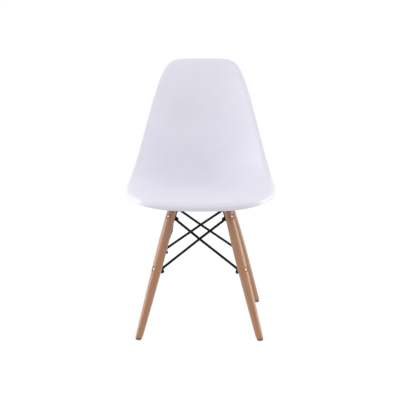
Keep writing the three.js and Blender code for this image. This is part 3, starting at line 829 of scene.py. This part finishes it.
def insert_mesh():
    """A turned brass insert, with a groove between two bands."""
    low, high = BOSS_Z, BOSS_Z + INSERT_LENGTH
    middle, edge, groove = (low + high) / 2, 0.3, INSERT_RADIUS - 0.6
    outline = [
        (HOLE_RADIUS, low + edge), (HOLE_RADIUS + edge, low), (INSERT_RADIUS - 0.2, low),
        (INSERT_RADIUS, low + edge), (INSERT_RADIUS, middle - 0.7), (groove, middle - 0.4),
        (groove, middle + 0.4), (INSERT_RADIUS, middle + 0.7), (INSERT_RADIUS, high - edge),
        (INSERT_RADIUS - edge, high), (HOLE_RADIUS + edge, high), (HOLE_RADIUS, high - edge),
        (HOLE_RADIUS, low + edge),
    ]
    return lathe(outline, sides=48)


def shock_mount_mesh():
    """A rubber puck with rounded edges and a waist."""
    low, high = RUBBER_Z, RUBBER_Z + RUBBER_HEIGHT
    edge, chamfer, waist = 1.6, 0.4, 1.5
    outline = [(HOLE_RADIUS, low + chamfer), (HOLE_RADIUS + chamfer, low)]
    outline += arc((RUBBER_RADIUS - edge, low + edge), edge, -90, 0, 5)
    outline += arc((RUBBER_RADIUS + 0.2, (low + high) / 2), waist, -110, -250, 8)
    outline += arc((RUBBER_RADIUS - edge, high - edge), edge, 0, 90, 5)
    outline += [(HOLE_RADIUS + chamfer, high), (HOLE_RADIUS, high - chamfer), (HOLE_RADIUS, low + chamfer)]
    return lathe(outline, sides=56)


def shell_screw_mesh():
    """A socket screw that points up, its head lowest, with a thin flange over the head."""
    seat = BAR_Z - GAP
    low, tip = seat - SCREW_HEAD_HEIGHT, BOSS_Z + INSERT_LENGTH - SCREW_SHORT
    edge, crown = 1.0, SCREW_HEAD_RADIUS - 2.4
    outline = [(0, low), (crown, low)]
    outline += arc((crown, low + edge), edge, -90, 0, 4)
    outline += [(SCREW_HEAD_RADIUS - 1.2, seat - 1.5), (SCREW_HEAD_RADIUS - 0.2, seat - 1.1)]
    outline += [(SCREW_HEAD_RADIUS, seat - 0.8), (SCREW_HEAD_RADIUS, seat), (BOLT_RADIUS, seat)]
    outline += threaded(BOLT_RADIUS, seat + PLAIN_SHANK, tip - TIP_CHAMFER)
    outline += [(BOLT_RADIUS - TIP_CHAMFER, tip), (0, tip)]
    return cut(lathe(outline), hexagon(SOCKET_FLATS, low - PAST, low + SOCKET_DEPTH))


def add_shell_mounts():
    kinds = [
        ("thread_insert", insert_mesh, BRASS, "brass"),
        ("shock_mount", shock_mount_mesh, RUBBER, "rubber"),
        ("shell_screw", shell_screw_mesh, ZINC_STEEL, "zinc_steel"),
    ]
    for kind, make, material, slot in kinds:
        mesh = make()
        for name, x, y in MOUNTS:
            place = Matrix.Translation((x, y + BASE_Y, 0))
            node = f"{kind}_{name}"
            add_piece(node + "_fine", mesh.copy(), material, [node], place)
        mesh.free()


add_shell_mounts()


# ------------------------ leg frames


class Corner:
    """One leg: its name, the signs of its corner, and its frame."""

    def __init__(self, name, sx, sy):
        self.name, self.sx, self.sy = name, sx, sy
        self.up = Vector((sx * (TOP_X - FOOT_X), sy * (TOP_Y - FOOT_Y), BASE_HEIGHT)).normalized()
        level = Vector((-sx * math.sin(BOLT_AZIMUTH), -sy * math.cos(BOLT_AZIMUTH), 0))
        inward = (level - self.up * level.dot(self.up)).normalized()
        self.frame = Matrix((inward, self.up.cross(inward), self.up)).transposed().to_4x4()
        self.frame.translation = (sx * FOOT_X, sy * FOOT_Y + BASE_Y, 0)
        self.foot = self.frame @ Vector((0, 0, GLIDE_HEIGHT / 2 / self.up.z))
        self.foot.z = 0


CORNERS = [
    Corner("front_left", -1, -1),
    Corner("front_right", 1, -1),
    Corner("rear_right", 1, 1),
    Corner("rear_left", -1, 1),
]
UPRIGHT = CORNERS[0].up.z
leg_radius_at = through(LEG_RADII)


def leg_radius(height):
    return float(leg_radius_at(height))


def stack(height, *layers):
    """Where each layer of a bolt's stack starts, as distances from the leg's axis."""
    starts = {"height": height}
    start = max(leg_radius(height - RAIL_EYE_RADIUS), leg_radius(height + RAIL_EYE_RADIUS)) + GAP
    for layer, thickness in layers:
        starts[layer] = start
        start += thickness + GAP
    starts["end"] = start
    return starts


WIRE_LAYERS = [
    ("face", WIRE_EYE_THICKNESS), ("side", WIRE_EYE_THICKNESS),
    ("washer", WASHER_THICKNESS), ("nut", NUT_HEIGHT),
]
LOWER_STACK = stack(LOWER_BOLT_Z / UPRIGHT, *WIRE_LAYERS)
UPPER_STACK = stack(UPPER_BOLT_Z / UPRIGHT, ("rail", RAIL_EYE_THICKNESS), *WIRE_LAYERS)


# ------------------------ legs and glides

FOOT_ROUND = 1.6  # radius of the turned edge at the foot
TOP_ROUND = 2.0
FOOT_BLEND = 30  # height over which the level foot turns square to the leg
ROUND_STEPS = 4
BLEND_STEPS = 6
SHAFT_STEPS = 28


def leg_blank(corner):
    """The turned leg. Its foot is sawn level with the floor, with a rounded edge."""
    slope_x, slope_y = corner.frame[2][0], corner.frame[2][1]
    rings = []

    def ring(radius, height, level):
        """A ring square to the leg at level 0, and level with the floor at level 1."""
        points = [(radius * c, radius * s) for c, s in circle(LEG_SIDES)]
        rings.append([
            (x, y, height - level * (slope_x * x + slope_y * y) / UPRIGHT) for x, y in points])

    sole, top = (GLIDE_HEIGHT + GAP) / UPRIGHT, LEG_TOP_Z / UPRIGHT
    edge = (leg_radius(sole) - FOOT_ROUND, sole + FOOT_ROUND)
    for radius, height in arc(edge, FOOT_ROUND, -90, 0, ROUND_STEPS):
        ring(radius, height, 1)
    for step in range(1, BLEND_STEPS + 1):
        height = sole + FOOT_ROUND + FOOT_BLEND * step / BLEND_STEPS
        ring(leg_radius(height), height, 1 - smooth(step / BLEND_STEPS))
    start, end = sole + FOOT_ROUND + FOOT_BLEND, top - TOP_ROUND
    for step in range(1, SHAFT_STEPS):
        height = start + (end - start) * step / SHAFT_STEPS
        ring(leg_radius(height), height, 0)
    for radius, height in arc((leg_radius(top) - TOP_ROUND, end), TOP_ROUND, 0, 90, ROUND_STEPS):
        ring(radius, height, 0)
    return loft(rings)


ACROSS = Matrix.Rotation(math.pi / 2, 4, "Y")  # turns Z to the leg frame's X


def bolt_hole(height):
    """Cutter for a bolt's hole and its counterbore, with a broken edge at each mouth."""
    radius, reach = leg_radius(height), 30
    bottom = COUNTERBORE_DEPTH - radius
    outline = [
        (0, -reach), (COUNTERBORE_RADIUS + 5, -reach), (COUNTERBORE_RADIUS + 1.3, -radius - 0.8),
        (COUNTERBORE_RADIUS, -radius + 0.7), (COUNTERBORE_RADIUS, bottom), (HOLE_RADIUS, bottom),
        (HOLE_RADIUS, radius - 0.9), (HOLE_RADIUS + 1.6, radius + 0.7), (HOLE_RADIUS + 1.6, reach),
        (0, reach),
    ]
    return moved(lathe(outline), Matrix.Translation((0, 0, height)) @ ACROSS)


def leg_mesh(corner):
    hole, deep = NAIL_RADIUS + GAP, GLIDE_HEIGHT + NAIL_LENGTH + GAP
    nail_hole = lathe([(0, 0), (hole, 0), (hole, deep), (0, deep)], sides=16)
    moved(nail_hole, corner.frame.inverted() @ Matrix.Translation(corner.foot))
    holes = [bolt_hole(place["height"]) for place in (LOWER_STACK, UPPER_STACK)]
    return cut(leg_blank(corner), nail_hole, *holes)


def glide_mesh():
    """A domed cap, flat where it stands, with its pointed nail."""
    flat, dome = GLIDE_RADIUS - 4.6, 5.4
    edge, point = 0.5, 3
    outline = [(0, 0)] + arc((flat, dome), GLIDE_RADIUS - flat, -90, 0, 12, dome)
    outline += [(GLIDE_RADIUS, GLIDE_HEIGHT - edge), (GLIDE_RADIUS - edge, GLIDE_HEIGHT)]
    outline += [(NAIL_RADIUS, GLIDE_HEIGHT), (NAIL_RADIUS, GLIDE_HEIGHT + NAIL_LENGTH - point)]
    outline += [(0, GLIDE_HEIGHT + NAIL_LENGTH)]
    return lathe(outline, sides=48)


# How far each leg's grain lies from its tree's heart, so that no two legs look alike.
GRAIN = {
    "front_left": (46, 18, 0),
    "front_right": (-38, 31, 900),
    "rear_right": (52, -24, 1800),
    "rear_left": (-44, -36, 2700),
}


def add_legs():
    glide = glide_mesh()
    for corner in CORNERS:
        node = f"leg_{corner.name}"
        add_piece(
            f"dowel_{node}", leg_mesh(corner), BEECH, [node], corner.frame, GRAIN[corner.name])
        node = f"foot_glide_{corner.name}"
        place = Matrix.Translation(corner.foot)
        add_piece(node + "_fine", glide.copy(), GLIDE_PLASTIC, [node], place)
    glide.free()


add_legs()


# ------------------------ leg bolts, washers and nuts


def leg_bolt_mesh(place):
    """A socket button-head bolt along Z, its head in the counterbore on the leg's outer side."""
    seat = COUNTERBORE_DEPTH - leg_radius(place["height"]) - GAP
    low, tip = seat - HEAD_HEIGHT, place["end"] + BOLT_PAST_NUT
    flat, crown = HEAD_RADIUS / 2, 2.7
    outline = [(0, low)] + arc((flat, low + crown), HEAD_RADIUS - flat, -90, 0, 8, crown)
    outline += [(HEAD_RADIUS, seat), (BOLT_RADIUS, seat)]
    outline += threaded(BOLT_RADIUS, place["washer"] - THREAD_LEAD, tip - TIP_CHAMFER)
    outline += [(BOLT_RADIUS - 0.7, tip), (0, tip)]
    return cut(lathe(outline), hexagon(SOCKET_FLATS, low - PAST, low + SOCKET_DEPTH))


def washer_mesh(start):
    top, edge = start + WASHER_THICKNESS, 0.2
    outline = [
        (HOLE_RADIUS, start), (WASHER_RADIUS - edge, start), (WASHER_RADIUS, start + edge),
        (WASHER_RADIUS, top - edge), (WASHER_RADIUS - edge, top), (HOLE_RADIUS, top), (HOLE_RADIUS, start),
    ]
    return lathe(outline, sides=48)


def nut_mesh(start):
    """A hexagonal nut, chamfered on both faces and countersunk at its bore."""
    top, corner = start + NUT_HEIGHT, NUT_FLATS / math.sqrt(3) + 0.1
    flat, chamfer = NUT_FLATS / 2 - 0.25, 0.75
    cone = lathe([
        (0, start), (flat, start), (corner, start + chamfer), (corner, top - chamfer), (flat, top), (0, top),
    ], sides=60)
    blank = boolean(hexagon(NUT_FLATS, start - PAST, top + PAST), "INTERSECT", cone)
    sink, deep = HOLE_RADIUS + 1.4, 0.4
    bored = lathe([
        (0, start - PAST), (sink, start - PAST), (HOLE_RADIUS, start + deep), (HOLE_RADIUS, top - deep),
        (sink, top + PAST), (0, top + PAST),
    ])
    return cut(blank, bored)


def add_leg_fasteners():
    for level, place in (("lower", LOWER_STACK), ("upper", UPPER_STACK)):
        kinds = [
            ("leg_bolt", leg_bolt_mesh(place), BOLT_STEEL, "zinc_steel"),
            ("washer", washer_mesh(place["washer"]), BLACK_STEEL, "black_steel"),
            ("nut", nut_mesh(place["nut"]), BLACK_STEEL, "black_steel"),
        ]
        for kind, mesh, material, slot in kinds:
            for corner in CORNERS:
                node = f"{kind}_{level}_{corner.name}"
                matrix = corner.frame @ Matrix.Translation((0, 0, place["height"])) @ ACROSS
                add_piece(node + "_fine", mesh.copy(), material, [node], matrix)
            mesh.free()


add_leg_fasteners()


# ------------------------ bent wires and rails

# A section's squareness: the power of its superellipse.
ROUND = 2.0
SQUARE = 5.0
TIP_WIDTH = 0.05  # half the width of the first section, at the tip of an eye
EYE_STEPS = 16
NECK_STEPS = 12
BEND_STEPS = 9


class End:
    """A rod's end, pressed flat and bored, on one of a leg's bolts. `angle` turns its neck from up
    the leg, and `start` is its face nearest the leg."""

    def __init__(self, corner, place, layer, angle, size):
        self.corner, self.angle = corner, angle
        self.start, self.height = place[layer], place["height"]
        self.rod, self.radius, self.thickness, self.neck, self.bend = size

    def point(self, reach, half_thickness):
        """A point `reach` out along the neck, on the middle of a section of that thickness."""
        return self.corner.frame @ Vector((
            self.start + half_thickness,
            -math.sin(self.angle) * reach,
            self.height + math.cos(self.angle) * reach,
        ))

    def inward(self):
        return self.corner.frame.to_3x3() @ Vector((1, 0, 0))

    def sections(self):
        """(point, half thickness, half width, squareness) from the tip of the eye to the round rod."""
        made = []
        flat = self.thickness / 2
        for step in range(EYE_STEPS + 1):
            turn = math.pi / 2 * step / EYE_STEPS
            reach, width = -self.radius * math.cos(turn), self.radius * math.sin(turn)
            made.append((reach, flat, max(width, TIP_WIDTH), SQUARE))
        for step in range(1, NECK_STEPS + 1):
            reach = self.neck * step / NECK_STEPS
            share = smooth(step / NECK_STEPS)
            narrowed = smooth(min(1, step / (NECK_STEPS - 2)))
            width = self.radius + (self.rod - self.radius) * narrowed
            half = flat + (self.rod - flat) * share
            made.append((reach, half, width, SQUARE + (ROUND - SQUARE) * share))
        return [(self.point(reach, half), half, width, power) for reach, half, width, power in made]

    def bore(self):
        low, high = self.start - PAST, self.start + self.thickness + PAST
        place = self.corner.frame @ Matrix.Translation((0, 0, self.height)) @ ACROSS
        return moved(lathe([(0, low), (HOLE_RADIUS, low), (HOLE_RADIUS, high), (0, high)], sides=32), place)


def rounded(points, radius, steps):
    """A line of straight runs with its corners rounded."""
    made = [points[0]]
    for before, at, after in zip(points, points[1:], points[2:]):
        into, out = (at - before).normalized(), (after - at).normalized()
        setback = radius * math.tan(into.angle(out) / 2)
        setback = min(setback, (at - before).length * 0.9, (after - at).length * 0.9)
        for step in range(steps + 1):
            t = step / steps
            made.append(
                (at - into * setback) * (1 - t) ** 2 + at * 2 * t * (1 - t) + (at + out * setback) * t * t)
    return made + [points[-1]]


def bent_rod(first, last, middle, bend_radius):
    """One closed rod between two pressed ends, as a loft of rounded-square sections."""
    rod = first.rod
    points = [first.point(first.neck, rod), first.point(first.bend, rod)]
    points += middle + [last.point(last.bend, rod), last.point(last.neck, rod)]
    run = [(point, rod, rod, ROUND) for point in rounded(points, bend_radius, BEND_STEPS)[1:-1]]
    sections = first.sections() + run + last.sections()[::-1]
    places = [section[0] for section in sections]
    lengths = [0.0]
    for a, b in zip(places, places[1:]):
        lengths.append(lengths[-1] + (b - a).length)
    rings = []
    for k, (place, half, width, power) in enumerate(sections):
        ahead = (places[min(k + 1, len(places) - 1)] - places[max(k - 1, 0)]).normalized()
        thin = first.inward().lerp(last.inward(), lengths[k] / lengths[-1])
        thin = (thin - ahead * thin.dot(ahead)).normalized()
        wide = ahead.cross(thin)
        ring = []
        for c, s in circle(WIRE_SIDES):
            a = math.copysign(abs(c) ** (2 / power), c) * half
            b = math.copysign(abs(s) ** (2 / power), s) * width
            ring.append(place + thin * a + wide * b)
        rings.append(ring)
    return cut(loft(rings), first.bore(), last.bore())


WIRE_SIZE = (WIRE_RADIUS, WIRE_EYE_RADIUS, WIRE_EYE_THICKNESS, WIRE_NECK, WIRE_BEND)


def wire_end(corner, place, layer, towards, lower):
    heading = corner.frame.to_3x3().inverted() @ towards
    turn = -1 if heading.y > 0 else 1
    angle = turn * (WIRE_FAN if lower else math.pi - UPPER_FAN)
    return End(corner, place, layer, angle, WIRE_SIZE)


def brace_mesh(upper_corner, lower_corner, layer, outward, bow):
    across = Vector((lower_corner.sx - upper_corner.sx, lower_corner.sy - upper_corner.sy, 0))
    upper = wire_end(upper_corner, UPPER_STACK, layer, across, False)
    lower = wire_end(lower_corner, LOWER_STACK, layer, -across, True)
    start, end = upper.point(WIRE_BEND, WIRE_RADIUS), lower.point(WIRE_BEND, WIRE_RADIUS)
    middle = Vector((0, BASE_Y, 0))
    near, far = abs((start - middle).dot(across)), abs((end - middle).dot(across))
    crossing = start.lerp(end, near / (near + far)) + outward * bow
    return bent_rod(upper, lower, [crossing], WIRE_BEND_RADIUS)


def add_braces():
    sides = [
        ("front", CORNERS[0], CORNERS[1], "face"),
        ("right", CORNERS[1], CORNERS[2], "side"),
        ("rear", CORNERS[2], CORNERS[3], "face"),
        ("left", CORNERS[3], CORNERS[0], "side"),
    ]
    for side, first, second, layer in sides:
        outward = Vector((first.sx + second.sx, first.sy + second.sy, 0)).normalized()
        pairs = [("outer", first, second, WIRE_PASS), ("inner", second, first, -WIRE_PASS)]
        for kind, upper, lower, bow in pairs:
            node = f"brace_{side}_{kind}"
            mesh = brace_mesh(upper, lower, layer, outward, bow)
            add_piece(node + "_wire", mesh, BLACK_STEEL, [node])


add_braces()


# ------------------------ seat frame


def rail_end(corner):
    size = (RAIL_RADIUS, RAIL_EYE_RADIUS, RAIL_EYE_THICKNESS, RAIL_NECK, 0)
    end = End(corner, UPPER_STACK, "rail", 0, size)
    end.bend = (RAIL_Z - end.point(0, RAIL_RADIUS).z) / corner.up.z
    return end


def rail_x():
    end = rail_end(CORNERS[1])
    return end.point(end.bend, RAIL_RADIUS).x


def bar_mesh():
    """A flat bar with round ends, broken edges and two holes."""
    radius, steps = BAR_WIDTH / 2, 16
    outline = []
    for sx, start in ((1, -90), (-1, 90)):
        for step in range(steps + 1):
            turn = math.radians(start + 180 * step / steps)
            x = sx * (BAR_HALF_LENGTH - radius) + radius * math.cos(turn)
            outline.append((x, radius * math.sin(turn)))
    bar = loft([[(x, y, z) for x, y in outline] for z in (0, BAR_THICKNESS)])
    rims = [edge for edge in bar.edges if abs(edge.verts[0].co.z - edge.verts[1].co.z) < GAP]
    bmesh.ops.bevel(bar, geom=rims, offset=BAR_EDGE, segments=3, profile=0.5, affect="EDGES")
    holes = []
    low, high = -PAST, BAR_THICKNESS + PAST
    for sx in (-1, 1):
        hole = lathe([(0, low), (HOLE_RADIUS, low), (HOLE_RADIUS, high), (0, high)])
        holes.append(moved(hole, Matrix.Translation((sx * MOUNT_X, 0, 0))))
    return cut(bar, *holes)


WELD_LENGTH = 19
WELD_RADIUS = 1.9
WELD_X = 2.9  # from the rail's middle to each bead's
WELD_DROP = 1.3  # from the bar's underside to each bead's middle
WELD_FLATNESS = 0.75
WELD_RIPPLES = 11
WELD_RIPPLE = 0.09  # height of a ripple, as a share of the bead's radius
WELD_SIDES = 14
WELD_STEPS = 57


def weld_mesh():
    """The two beads along a rail where it crosses a bar, each a row of overlapping ripples."""
    mesh = bmesh.new()
    for sx in (-1, 1):
        x, z = sx * WELD_X, BAR_Z - WELD_DROP
        rings = []
        for step in range(WELD_STEPS + 1):
            share = step / WELD_STEPS
            taper = math.sqrt(max(0.02, 1 - (2 * share - 1) ** 8))
            ripple = 1 + WELD_RIPPLE * abs(math.sin(share * math.pi * WELD_RIPPLES))
            radius = WELD_RADIUS * taper * ripple
            y = (share - 0.5) * WELD_LENGTH
            rings.append([
                (x + radius * c, y, z + radius * s * WELD_FLATNESS) for c, s in circle(WELD_SIDES)])
        loft(rings, mesh)
    return mesh


def add_seat_frame():
    for side, front, rear in (("left", CORNERS[0], CORNERS[3]), ("right", CORNERS[1], CORNERS[2])):
        mesh = bent_rod(rail_end(front), rail_end(rear), [], RAIL_BEND_RADIUS)
        node = f"side_rail_{side}"
        add_piece(node + "_fine", mesh, BLACK_STEEL, [node])
    bar, weld = bar_mesh(), weld_mesh()
    for end, sy in (("front", -1), ("rear", 1)):
        y = sy * MOUNT_Y + BASE_Y
        node = f"cross_bar_{end}"
        place = Matrix.Translation((0, y, BAR_Z))
        add_piece(node + "_fine", bar.copy(), BLACK_STEEL, [node], place)
        for side, sx in (("left", -1), ("right", 1)):
            place = Matrix.Translation((sx * rail_x(), y, 0))
            add_piece(f"weld_{end}_{side}", weld.copy(), BLACK_STEEL, (), place)
    bar.free()
    weld.free()


add_seat_frame()
